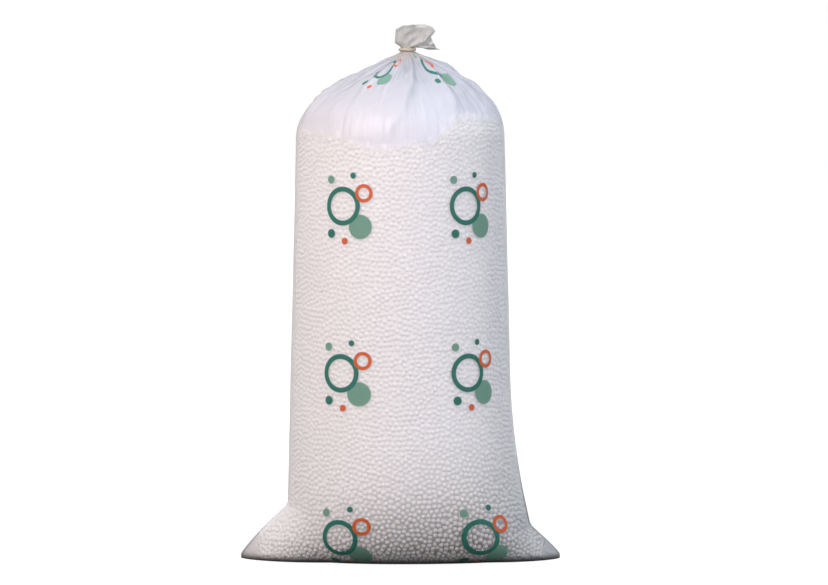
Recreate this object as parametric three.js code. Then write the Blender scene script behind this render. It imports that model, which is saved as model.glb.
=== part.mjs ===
// A bag of polystyrene beads for filling bean bags. A tube of clear film, sealed flat across its bottom,
// stands full of beads on its sealed end. The seal's two corners stick out sideways as ears, and above
// the beads the film is gathered into a neck that a wound rubber band closes, with the film's open end
// fanning out above it. Millimetres, +Z up, +X to the right of the front view, origin on the floor under
// the middle of the bag.
import * as THREE from "three";
import { mergeGeometries } from "three/addons/utils/BufferGeometryUtils.js";

// Body of the filled bag
const BELLY_WIDTH = 316; // across the front, just above the corners
const SHOULDER_WIDTH = 290; // across the front, where the film leaves the beads
const FOOT_DEPTH = 250; // front to back at the floor
const SHOULDER_DEPTH = 286; // front to back where the film leaves the beads
const BELLY_HEIGHT = 72;
const SHOULDER_HEIGHT = 590;
const FOOT_ROUNDING = 44; // radius of the turn from the flat base to the wall
const FRONT_TUCK = 0.25; // share of the depth that is lost at the floor, where the film runs in under the bag
const FRONT_TUCK_HEIGHT = 110; // where the film starts to run in
const FOOT_SQUARENESS = 0.45; // how far the base's round outline is drawn towards a rectangle
const FOOT_SQUARE_HEIGHT = 120; // where the outline is round again
const FILM_THICKNESS = 0.2;

// Right-hand side, which leans out further towards the floor than the left
const FLARE_REACH = 36;
const FLARE_HEIGHT = 260;

// Ears: the two corners of the bottom seal
const EAR_REACH = 66; // how far either tip stands out from the belly
const EAR_BLUNT = 6; // height of the upright end of an ear
const EAR_SPREAD = 0.72; // half the angle, in radians, over which an ear runs out of the round wall
const EAR_SHARPNESS = 1.7; // how hollow an ear's sides are
const EAR_FADE = 4; // how quickly an ear fades towards the middle of the base
const LEFT_EAR_HEIGHT = 76;
const RIGHT_EAR_HEIGHT = 46;

// Gathered top
const TOP_RISE = 120; // from the shoulder to the neck
const SHOULDER_ROLL = 68; // how far the shoulder rises before it turns in
const GATHER_RUN = 21; // how far the gathers run out from the neck before they turn down
const GATHER_DROP = 16; // how far the gathers fall on that way
const NECK_WIDTH = 18;
const NECK_CHANNEL = 5; // what is left open through the bunched film
const NECK_SHIFT = 9.5; // the neck stands to the right of the middle
const NECK_BUNCH = 30; // height over which the bunch thins out to a single layer
const PLEATS = 15;
const PLEAT_DEPTH = 5;
const NECK_PLEAT_DEPTH = 0.8;

// Open end of the film above the neck, which fans out towards the right
const TAIL_LENGTH = 41; // in the middle of the fan
const TAIL_ROUNDING = 0.37; // share by which the fan is shorter at its sides
const TAIL_LEAN = 0.82; // radians from upright to the middle of the fan
const TAIL_SPREAD = 0.74; // radians from the middle of the fan to either side
const TAIL_WIDENING = 1; // share of the neck's width by which the film springs out above the band
const TAIL_SPRING = 0.3; // share of the fan's length in which it does so
const TAIL_DEPTH = 26; // front to back at the open edge

// Beads inside
const FILL_CLEARANCE = 0.3;
const FILL_DROP = 8; // from the shoulder down to where the beads meet the wall, on average
const FILL_SADDLE = 8; // the beads lie this much higher at the sides and lower at front and back
const HEAP_RISE = 24; // the middle of the heap above its edge
const FILL_IN_EARS = 0.86; // share of an ear's reach that the beads get into
const BUMP_DEPTH = 6; // of the hollows between the bumps that give the beads' surface its pebbled look
const BUMP_CLEARANCE = 1.4; // how much further the film stands off the bumps than off the flat base

// Rubber band wound round the neck
const BAND_CORD = 2.2; // thickness of the band
const BAND_TURNS = 2;
const BAND_BULGE = 1.1; // half the angle, in radians, that shows of each turn's round section
const BAND_CLEARANCE = 0.3;
const BAND_MARGIN = 0.7; // bare neck above and below the band

// How finely the curved surfaces are divided
const SEGMENTS_PER_PLEAT = 4;
const BASE_RINGS = 2;
const ROUNDING_RINGS = 3;
const WALL_RINGS = 8;
const TOP_RINGS = 9;
const NECK_RINGS = 2;
const TAIL_RINGS = 4;
const BUMP_RINGS = 30; // rows of bumps up the wall, each half a bump round from the next
const HEAP_RINGS = 6;
const BAND_SEGMENTS = 20;
const BAND_SIDES = 3;
const LOW_RING_SPACING = 1.5; // above 1, the rings lie closer together towards the ears

// Sizes that follow
const BELLY_RADIUS = BELLY_WIDTH / 2;
const SHOULDER_RADIUS = SHOULDER_WIDTH / 2;
const EAR_TIP = BELLY_RADIUS + EAR_REACH;
const NECK_RADIUS = NECK_WIDTH / 2;
const NECK_BOTTOM = SHOULDER_HEIGHT + TOP_RISE;
const BAND_HEIGHT = BAND_TURNS * BAND_CORD;
const NECK_TOP = NECK_BOTTOM + BAND_HEIGHT + 2 * BAND_MARGIN;
const MOUTH_HEIGHT = NECK_TOP + TAIL_LENGTH;
const FILL_HEIGHT = SHOULDER_HEIGHT - FILL_DROP;
const SEGMENTS = PLEATS * SEGMENTS_PER_PLEAT;

const { lerp, clamp, smoothstep } = THREE.MathUtils;
const point = (radius, height) => new THREE.Vector2(radius, height);

// Radius of the turned wall at a height, from the floor up to the shoulder
function wallRadius(height) {
  const rounding = FOOT_ROUNDING * (1 - Math.sqrt(clamp(height / FOOT_ROUNDING, 0, 1))) ** 2;
  const share = (height - BELLY_HEIGHT) / (SHOULDER_HEIGHT - BELLY_HEIGHT);
  return lerp(BELLY_RADIUS, SHOULDER_RADIUS, clamp(share, 0, 1)) - rounding;
}

// Points of a straight stretch of an outline, without its first point. A spacing above 1 crowds them together
// towards the start.
function stretch(from, to, count, spacing = 1) {
  return Array.from({ length: count }, (_, i) => from.clone().lerp(to, ((i + 1) / count) ** spacing));
}

// Half outline of the base: from the middle of the floor to where the rounding ends in the wall
function baseOutline() {
  const foot = point(BELLY_RADIUS - FOOT_ROUNDING, 0);
  const wallFoot = point(BELLY_RADIUS, FOOT_ROUNDING);
  const rounding = new THREE.QuadraticBezierCurve(foot, point(BELLY_RADIUS, 0), wallFoot);
  return [
    point(0, 0),
    ...stretch(point(0, 0), foot, BASE_RINGS, 1 / LOW_RING_SPACING),
    ...rounding.getPoints(ROUNDING_RINGS).slice(1),
  ];
}

// Half outline of the wall: from the rounding up to a height
function wallOutline(top, rings, spacing) {
  const upright = stretch(point(BELLY_RADIUS, FOOT_ROUNDING), point(BELLY_RADIUS, top), rings, spacing);
  return upright.map((p) => point(wallRadius(p.y), p.y));
}

// Half outline of the shoulder, the neck and the open end
function upperOutline() {
  const shoulder = new THREE.CubicBezierCurve(
    point(SHOULDER_RADIUS, SHOULDER_HEIGHT),
    point(SHOULDER_RADIUS, SHOULDER_HEIGHT + SHOULDER_ROLL),
    point(NECK_RADIUS + GATHER_RUN, NECK_BOTTOM - GATHER_DROP),
    point(NECK_RADIUS, NECK_BOTTOM),
  );
  const neckTop = point(NECK_RADIUS, NECK_TOP);
  return [
    ...shoulder.getPoints(TOP_RINGS).slice(1),
    ...stretch(point(NECK_RADIUS, NECK_BOTTOM), neckTop, NECK_RINGS),
    ...stretch(neckTop, point(NECK_RADIUS, MOUTH_HEIGHT), TAIL_RINGS),
  ];
}

// Moves each point of an outline inwards, square to the outline, by a depth that may change along it
function insetOutline(outline, depthAt) {
  return outline.map((p, i) => {
    const before = outline[Math.max(i - 1, 0)];
    const after = outline[Math.min(i + 1, outline.length - 1)];
    const along = after.clone().sub(before).normalize();
    const depth = depthAt(p);
    return point(Math.max(p.x - along.y * depth, 0), p.y + along.x * depth);
  });
}

// Thickness of the film's layers together: one layer, or the whole bunch at the neck
function filmDepth(p) {
  const belowNeck = smoothstep(p.y, NECK_BOTTOM - NECK_BUNCH, NECK_BOTTOM);
  const aboveNeck = 1 - smoothstep(p.y, NECK_TOP, NECK_TOP + NECK_BUNCH);
  const bunch = (NECK_WIDTH - NECK_CHANNEL) / 2 - FILM_THICKNESS;
  return FILM_THICKNESS + bunch * Math.min(belowNeck, aboveNeck);
}

// How much wider than the turned wall the bag is on one side at a height
function sideStretch(height, toTheRight) {
  const flare = FLARE_REACH * clamp(1 - height / FLARE_HEIGHT, 0, 1) ** 2;
  return toTheRight ? 1 + flare / BELLY_RADIUS : 1;
}

// How far an ear's ridge stands out of the wall at a height
function earReach(height, toTheRight) {
  const earHeight = toTheRight ? RIGHT_EAR_HEIGHT : LEFT_EAR_HEIGHT;
  const root = wallRadius(earHeight) * sideStretch(earHeight, toTheRight);
  const ridge = lerp(EAR_TIP, root, clamp((height - EAR_BLUNT) / (earHeight - EAR_BLUNT), 0, 1));
  return height < earHeight ? Math.max(ridge - wallRadius(height) * sideStretch(height, toTheRight), 0) : 0;
}

// Depth of the pleats as a share of the radius: none on the wall, deepest half way up to the neck
function pleatShare(radius, height) {
  if (height <= SHOULDER_HEIGHT) return 0;
  const onTop = PLEAT_DEPTH * smoothstep(height, SHOULDER_HEIGHT, NECK_BOTTOM);
  const intoNeck = smoothstep(height, NECK_BOTTOM - NECK_BUNCH, NECK_BOTTOM);
  const depth = lerp(onTop, NECK_PLEAT_DEPTH, intoNeck);
  return depth / Math.max(radius, NECK_RADIUS);
}

// Lays the film above the neck out as a fan that leans to the right
function fanOut(across, along, height) {
  const share = (height - NECK_TOP) / TAIL_LENGTH;
  const angle = TAIL_LEAN + TAIL_SPREAD * across;
  const length = share * TAIL_LENGTH * (1 - TAIL_ROUNDING * across ** 2);
  const wider = 1 + TAIL_WIDENING * smoothstep(share, 0, TAIL_SPRING);
  return new THREE.Vector3(
    NECK_SHIFT + NECK_RADIUS * across * wider + length * Math.sin(angle),
    along * lerp(NECK_RADIUS, TAIL_DEPTH / 2, share),
    NECK_TOP + length * Math.cos(angle),
  );
}

// How far forwards a point of the round outline lies, given the sine of its angle: near the floor the outline
// is squarer
function squared(sine, height) {
  const squareness = FOOT_SQUARENESS * clamp(1 - height / FOOT_SQUARE_HEIGHT, 0, 1) ** 2;
  return Math.sign(sine) * Math.abs(sine) ** (1 - squareness);
}

// Brings a point of the plain turned shape to its place on the bag
function placeOnBag(p, earShare) {
  const angle = Math.atan2(p.y, p.x);
  const radius = Math.hypot(p.x, p.y);
  const height = p.z;
  const pleated = radius * (1 + pleatShare(radius, height) * Math.cos(PLEATS * angle));
  if (height > NECK_TOP) {
    const share = pleated / NECK_RADIUS;
    return fanOut(share * Math.cos(angle), share * Math.sin(angle), height);
  }
  const toTheRight = p.x > 0;
  const fromRidge = toTheRight ? Math.abs(angle) : Math.PI - Math.abs(angle);
  const onRidge = clamp(1 - fromRidge / EAR_SPREAD, 0, 1) ** EAR_SHARPNESS;
  const ear = earShare * earReach(height, toTheRight) * onRidge * (radius / wallRadius(height)) ** EAR_FADE;
  const width = sideStretch(height, toTheRight);
  const upWall = clamp(height / SHOULDER_HEIGHT, 0, 1);
  const upTop = smoothstep(height, SHOULDER_HEIGHT, NECK_BOTTOM);
  const tuck = 1 - FRONT_TUCK * clamp(1 - height / FRONT_TUCK_HEIGHT, 0, 1) ** 2;
  const wallDepth = lerp(FOOT_DEPTH / BELLY_WIDTH, SHOULDER_DEPTH / SHOULDER_WIDTH, upWall) * tuck;
  const forwards = squared(Math.sin(angle), height);
  return new THREE.Vector3(
    (pleated * width + ear) * Math.cos(angle) + NECK_SHIFT * upTop,
    pleated * lerp(wallDepth, 1, upTop) * forwards + ear * Math.sin(angle),
    height,
  );
}

// Turns an outline round the upright axis
function turn(outline, segments) {
  return new THREE.LatheGeometry(outline, segments).rotateX(Math.PI / 2);
}

// Turns a surface's faces to its other side
function insideOut(geometry) {
  geometry.setIndex(Array.from(geometry.index.array).reverse());
  return geometry;
}

// Moves every vertex of a geometry
function reshape(geometry, move) {
  const position = geometry.getAttribute("position");
  const p = new THREE.Vector3();
  for (let i = 0; i < position.count; i++) {
    p.copy(move(p.fromBufferAttribute(position, i), i));
    position.setXYZ(i, p.x, p.y, p.z);
  }
  return geometry;
}

function finish(color, roughness, opacity = 1) {
  const transparent = opacity < 1;
  return new THREE.MeshStandardMaterial({ color, roughness, metalness: 0, opacity, transparent });
}

// The film: its outside and its inside, joined at the open edge
function filmBag() {
  const wall = wallOutline(SHOULDER_HEIGHT, WALL_RINGS, LOW_RING_SPACING);
  const outside = [...baseOutline(), ...wall, ...upperOutline()];
  const inside = insetOutline(outside, filmDepth);
  const geometry = mergeGeometries([
    turn(outside, SEGMENTS),
    turn([outside.at(-1), inside.at(-1)], SEGMENTS),
    insideOut(turn(inside, SEGMENTS)),
  ]);
  const mesh = new THREE.Mesh(reshape(geometry, (p) => placeOnBag(p, 1)), finish(0xeef0f4, 0.3, 0.4));
  mesh.name = "film_bag";
  return mesh;
}

// Raises the edge of the heap at the sides of the bag and lowers it at the front and back, along the wall
function saddle(p) {
  const share = smoothstep(p.z, FILL_HEIGHT / 2, FILL_HEIGHT) * (Math.hypot(p.x, p.y) / SHOULDER_RADIUS) ** 2;
  const height = p.z + FILL_SADDLE * share * Math.cos(2 * Math.atan2(p.y, p.x));
  const inwards = wallRadius(height) / wallRadius(p.z);
  return p.set(p.x * inwards, p.y * inwards, height);
}

// How far the beads stay off the film: on the base the film lies flat on them
function fillInset(p) {
  return FILM_THICKNESS + FILL_CLEARANCE + (p.y > FOOT_ROUNDING ? BUMP_CLEARANCE : 0);
}

// How deep the hollows between the bumps are: none on the base or in the middle of the heap
function bumpDepth(p) {
  return p.y > FOOT_ROUNDING ? BUMP_DEPTH * smoothstep(p.x / SHOULDER_RADIUS, 0, 1) : 0;
}

// Turns an outline into a surface of bumps. Its vertices lie high and deep by turns, along and across, and
// each quad above the base is split between its two deep corners, so that a bump is a four-sided peak.
function turnBumpy(outline) {
  const rings = outline.length;
  const isDeep = (i) => (Math.floor(i / rings) + (i % rings)) % 2 === 1;
  const hollows = turn(insetOutline(outline, bumpDepth), SEGMENTS).getAttribute("position");
  const geometry = turn(outline, SEGMENTS);
  reshape(geometry, (p, i) => (isDeep(i) ? p.fromBufferAttribute(hollows, i) : p));
  const faces = [];
  for (let segment = 0; segment < SEGMENTS; segment++) {
    for (let ring = 0; ring < rings - 1; ring++) {
      const low = segment * rings + ring;
      const lowNext = low + rings;
      const onBumps = outline[ring].y > FOOT_ROUNDING;
      if (onBumps && isDeep(low)) faces.push(low, lowNext, lowNext + 1, low, lowNext + 1, low + 1);
      else faces.push(low, lowNext, low + 1, lowNext + 1, low + 1, lowNext);
    }
  }
  geometry.setIndex(faces);
  return geometry;
}

// The beads: one body with a pebbled surface that fills the film up to a low heap
function beadFill() {
  const alongFilm = [...baseOutline(), ...wallOutline(FILL_HEIGHT, BUMP_RINGS)];
  const inFilm = insetOutline(alongFilm, fillInset);
  const edge = inFilm.at(-1);
  const heap = new THREE.QuadraticBezierCurve(
    edge,
    point(edge.x, FILL_HEIGHT + HEAP_RISE),
    point(0, FILL_HEIGHT + HEAP_RISE),
  );
  const geometry = turnBumpy([...inFilm, ...heap.getPoints(HEAP_RINGS).slice(1)]);
  reshape(geometry, saddle);
  const mesh = new THREE.Mesh(reshape(geometry, (p) => placeOnBag(p, FILL_IN_EARS)), finish(0xf4f4f2, 0.8));
  mesh.name = "bead_fill";
  return mesh;
}

// The rubber band: its turns lie on each other round the neck
function neckBand() {
  const inner = NECK_RADIUS + NECK_PLEAT_DEPTH + BAND_CLEARANCE;
  const half = BAND_CORD / 2;
  const outline = [point(inner, 0)];
  for (let wound = 0; wound < BAND_TURNS; wound++) {
    const middle = wound * BAND_CORD + half;
    const bulge = new THREE.EllipseCurve(inner + half, middle, half, half, -BAND_BULGE, BAND_BULGE);
    outline.push(...bulge.getPoints(BAND_SIDES));
  }
  outline.push(point(inner, BAND_HEIGHT), point(inner, 0));
  const mesh = new THREE.Mesh(turn(outline, BAND_SEGMENTS), finish(0xcbb089, 0.6));
  mesh.name = "neck_band";
  mesh.position.set(NECK_SHIFT, 0, NECK_BOTTOM + BAND_MARGIN);
  return mesh;
}

const bag = new THREE.Group();
bag.name = "bean_bag_filler";
bag.add(filmBag(), beadFill(), neckBand());

export default bag;
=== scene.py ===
"""Looks of a clear film bag full of foam beads: printed film, beads, rubber band and stage."""
import math
from collections import namedtuple

import bmesh
import bpy
import numpy as np
from bpy.props import FloatProperty, FloatVectorProperty, IntProperty, PointerProperty
from mathutils import Euler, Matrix, Vector, kdtree, noise


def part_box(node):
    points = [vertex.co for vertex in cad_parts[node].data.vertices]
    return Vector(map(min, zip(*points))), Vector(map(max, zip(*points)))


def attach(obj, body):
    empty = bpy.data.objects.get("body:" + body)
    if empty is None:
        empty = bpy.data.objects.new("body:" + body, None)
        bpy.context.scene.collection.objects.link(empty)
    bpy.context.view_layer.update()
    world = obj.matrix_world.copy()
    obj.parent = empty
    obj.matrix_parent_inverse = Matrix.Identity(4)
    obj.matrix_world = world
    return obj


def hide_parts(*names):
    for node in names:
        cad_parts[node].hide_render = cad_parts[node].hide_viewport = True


bl_info = {
    "name": "Bag of bean bag filler",
    "version": (1, 0, 0),
    "blender": (4, 5, 0),
    "location": "View3D > Sidebar > Filler Bag",
    "description": "Dresses the packed bag with its film, beads and neck band",
    "category": "Object",
}

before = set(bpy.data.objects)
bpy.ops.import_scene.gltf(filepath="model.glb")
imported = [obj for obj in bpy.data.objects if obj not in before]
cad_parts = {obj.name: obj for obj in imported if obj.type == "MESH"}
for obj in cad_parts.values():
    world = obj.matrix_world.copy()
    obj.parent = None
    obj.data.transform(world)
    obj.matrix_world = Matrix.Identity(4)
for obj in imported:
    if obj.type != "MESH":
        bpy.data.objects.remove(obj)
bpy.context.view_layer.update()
FILM_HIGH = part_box("film_bag")[1]
BAND_LOW, BAND_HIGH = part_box("neck_band")
NECK_MIDDLE = (BAND_LOW + BAND_HIGH) / 2


def length(description, default):
    """A size in metres"""
    return FloatProperty(description=description, default=default, unit="LENGTH", precision=4)


def angle(description, default):
    """An angle in radians"""
    return FloatProperty(description=description, default=default, subtype="ANGLE")


def number(description, default):
    """A plain number"""
    return FloatProperty(description=description, default=default, precision=3)


def count(description, default):
    """A whole number"""
    return IntProperty(description=description, default=default)


def power(description, default):
    """A lamp's power in watts"""
    return FloatProperty(description=description, default=default, unit="POWER")


def colour(description, default):
    """A linear colour"""
    return FloatVectorProperty(
        description=description, default=default, subtype="COLOR", size=3, min=0, max=1
    )


class BagSizes(bpy.types.PropertyGroup):
    """The form that the full bag has"""

    belly_width: length("Across the front, just above the corners", 0.316)
    shoulder_width: length("Across the front, where the film leaves the beads", 0.290)
    foot_depth: length("Front to back at the floor", 0.250)
    shoulder_depth: length("Front to back where the film leaves the beads", 0.286)
    belly_height: length("Where the wall starts to taper", 0.072)
    shoulder_height: length("Where the film turns in", 0.590)
    foot_rounding: length("Radius of the turn from the base to the wall", 0.044)
    front_tuck: number("Share of the depth lost at the floor, where the film runs in", 0.25)
    front_tuck_height: length("Where the film starts to run in under", 0.110)
    foot_square: number("How far the base is drawn towards a rectangle", 0.45)
    foot_square_height: length("Where the wall's outline is round again", 0.120)
    flare_reach: length("How far the right side leans out at the floor", 0.036)
    flare_height: length("Where the right side starts to lean out", 0.260)
    ear_tip: length("From the middle of the bag to either tip", FILM_HIGH.x)
    ear_blunt: length("Height of the upright end of an ear", 0.006)
    ear_bow: number("Above 1, the ridge of an ear bows outwards", 1.15)
    ear_spread: angle("Half the angle over which an ear runs out of the wall", 0.72)
    ear_sharpness: number("How hollow an ear's sides are", 1.7)
    ear_fade: number("How quickly an ear fades towards the middle of the base", 4.0)
    left_ear_height: length("Where the left ear leaves the wall", 0.076)
    right_ear_height: length("Where the right ear leaves the wall", 0.046)
    shoulder_roll: length("How far the shoulder rises before it turns in", 0.068)
    gather_run: length("How far the gathers run out from the neck", 0.021)
    gather_drop: length("How far the gathers fall on that way", 0.016)
    neck_width: length("Across the bunched film", 0.018)
    neck_margin: length("Bare neck above and below the band", 0.0007)
    tail_length: length("Film above the neck", 0.041)
    tail_lean: angle("From upright to the middle of the fan", 0.82)
    tail_spread: angle("From the middle of the fan to either side", 0.74)
    tail_widening: number("Share of the neck's width by which the fan springs out", 1.0)
    tail_spring: number("Share of the fan's length in which it does so", 0.3)
    tail_droop: length("How far the fan's right end hangs", 0.003)
    tail_depth: length("Front to back at the open edge", 0.026)
    fill_drop: length("From the shoulder down to the beads' lowest edge", 0.008)
    heap_top: length("Height of the middle of the heap", 0.604)
    fill_in_ears: number("Share of an ear's reach that the beads get into", 0.905)


class FilmSettings(bpy.types.PropertyGroup):
    """The film's cut, folds, print and finish"""

    thickness: length("Of the film", 0.0002)
    lay_flat_width: length("Of the film tube pressed flat", 0.457)
    columns: count("Mesh divisions round the tube", 216)
    long_pleats: count("Folds that run from the neck to the shoulder", 15)
    long_pleat_depth: length("Of the deepest long folds", 0.0105)
    short_pleats: count("Folds that run out soon after the neck", 44)
    short_pleat_depth: length("Of the deepest short folds", 0.0060)
    crumple: length("Depth of the flat facets in the loose film", 0.0075)
    slack: length("Depth of the loose waves in the wall", 0.0010)
    tint: colour("Of the milky film", (0.88, 0.885, 0.96))
    # Painted warm light of the lamp on the left side of the film
    lamp_warmed_tint: colour("Of the milky film on the left", (0.865, 0.845, 0.875))
    loose_tint: colour("Of film clear of the beads", (0.68, 0.71, 0.825))
    # Painted warm light of the lamp on the left side of the loose film
    loose_lamp_warmed_tint: colour("Of that film on the left", (0.68, 0.66, 0.695))
    # Painted shade in the gathers, darkest by the neck
    gather_shade_tint: colour("Of the gathered film by the neck", (0.38, 0.41, 0.48))
    # Painted shade on the film by the floor: its colour, bluer on the right, its opacity and the height it
    # reaches
    floor_shade_tint: colour("Of the dull film by the floor", (0.36, 0.335, 0.34))
    right_floor_shade_tint: colour("Of that film on the right", (0.335, 0.355, 0.40))
    floor_shade_opacity: number("Opacity of the dull film at the floor", 0.20)
    floor_shade_height: length("Up to which the film is dull", 0.190)
    neck_tint: colour("Of the bunched film beside the band", (0.55, 0.50, 0.425))
    # Dark colour of the fold lines on the ears and the air holes, and of the painted contact shadow at the
    # floor and the painted shade on the right edge
    dark_line_and_shade_tint: colour("Of the folded edges and the seal at the floor", (0.055, 0.048, 0.044))
    contact_shadow_height: length("Up to which the film at the floor is dark", 0.012)
    edge_line: length("Half the width of the folded edges", 0.0026)
    ear_line_height: length("Up to which the fold is dark along the ears", 0.055)
    # The painted shade on the right edge reaches up to this height
    right_edge_shade_height: length("Up to which the right edge is dark", 0.150)
    hole_radius: length("Of the pricked air holes", 0.0014)
    hole_rise: length("Height of the air holes up the wall", 0.381)
    hole_out: length("From the middle of the print to the air holes", 0.134)
    tail_tint: colour("Of the film's many layers above the neck", (0.475, 0.485, 0.485))
    rim_tint: colour("Of film seen on edge", (0.36, 0.38, 0.37))
    opacity: number("Of one film surface where it lies on the beads", 0.240)
    loose_opacity: number("Of one film surface where it is clear of the beads", 0.72)
    ink_dark: colour("Deep green of the print", (0.012, 0.16, 0.125))
    ink_pale: colour("Soft green of the print", (0.16, 0.33, 0.26))
    ink_warm: colour("Orange of the print", (0.62, 0.11, 0.025))
    print_pitch: length("From one motif to the next up the film", 0.230)
    print_gap: length("Between the two columns of a face", 0.178)
    print_rise: length("Height of a motif's middle up the wall", 0.262)
    print_shift: length("The columns stand to the right of the face's middle", 0.017)


class BeadSettings(bpy.types.PropertyGroup):
    """The beads"""

    diameter: length("Of a middling bead", 0.0078)
    size_spread: number("How far beads differ in size, as a share", 0.14)
    scatter: number("How far beads stray from their first rows, in diameters", 0.55)
    settling_rounds: count("How often beads that lie too close are pushed apart", 14)
    around: count("Divisions round one bead", 8)
    upwards: count("Divisions up one bead", 4)
    colour: colour("Of the foam", (0.86, 0.85, 0.83))
    # Painted shade on the beads and the mass behind them by the floor: its colour, bluer on the right, and
    # the height it reaches
    floor_shade_colour: colour("Of the beads by the floor", (0.40, 0.35, 0.335))
    right_floor_shade_colour: colour("Of those beads on the right", (0.49, 0.55, 0.65))
    bead_shade_height: length("Up to which beads are greyer", 0.200)
    low_inset: number("Depth of the mass behind the beads at the floor, in diameters", 0.66)
    high_inset: number("Depth of the mass behind the beads higher up, in diameters", 0.38)
    shade: colour("Of what shows between the beads", (0.84, 0.83, 0.82))


class BandSettings(bpy.types.PropertyGroup):
    """The rubber band on the neck"""

    turns: number("Of the band round the neck", 2.0)
    width: length("Of the band's section, up the neck", 0.0021)
    depth: length("Of the band's section, out of the neck", 0.0017)
    colour: colour("Of the rubber", (0.52, 0.455, 0.37))


class StageSettings(bpy.types.PropertyGroup):
    """Camera and light"""

    millimetres_per_pixel: number("Millimetres at the bag for each pixel of the picture", 1.4)
    camera_distance: length("From the bag", 5.5)
    camera_elevation: angle("Above the horizon", math.radians(3.7))
    aim_right: length("The picture's middle is this far to the right of the bag's", 0.019)
    aim_height: length("Height that the camera looks at", 0.3737)
    key_power: power("Main lamp", 66.0)
    fill_power: power("Lamp on the right", 25.5)
    top_power: power("Lamp above", 2.5)
    world_level: number("Light from all round", 0.92)
    floor_glow: number("White of the floor that the camera sees beside the bag", 0.93)


def clamp01(x):
    return np.clip(x, 0.0, 1.0)


def smooth(x, low, high):
    """0 below low, 1 above high, and an S between"""
    share = clamp01((x - low) / (high - low))
    return share * share * (3.0 - 2.0 * share)


def mix(a, b, share):
    return a + (b - a) * share


SMALLEST_LENGTH = 1e-12


def unit(vectors):
    """The same ways at a length of 1"""
    return vectors / np.maximum(np.linalg.norm(vectors, axis=-1, keepdims=True), SMALLEST_LENGTH)


def round_turn(columns):
    """Angles of a grid's columns. They start at the back, so a rolled-up grid closes there."""
    return math.pi / 2 + 2 * math.pi * np.arange(columns) / columns


# The beads' edge: turn from the right side in degrees, and height above the lowest edge in metres
FILL_TURNS = (-180, -135, -110, -90, -72, -55, -38, -15, 20, 90)
FILL_RISES = (0.032, 0.022, 0.012, 0.008, 0.016, 0.045, 0.052, 0.042, 0.028, 0.016)
# Ripples along it: height in metres, how many go round the bag, and phase
FILL_RIPPLES = ((0.003, 5, 1.0), (0.002, 11, 0.0))
# Where the fan's right end hangs, from its middle to its right side and from the neck to its edge
DROOP_ACROSS = (0.2, 1.0)
DROOP_ALONG = (0.1, 0.45)


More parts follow.
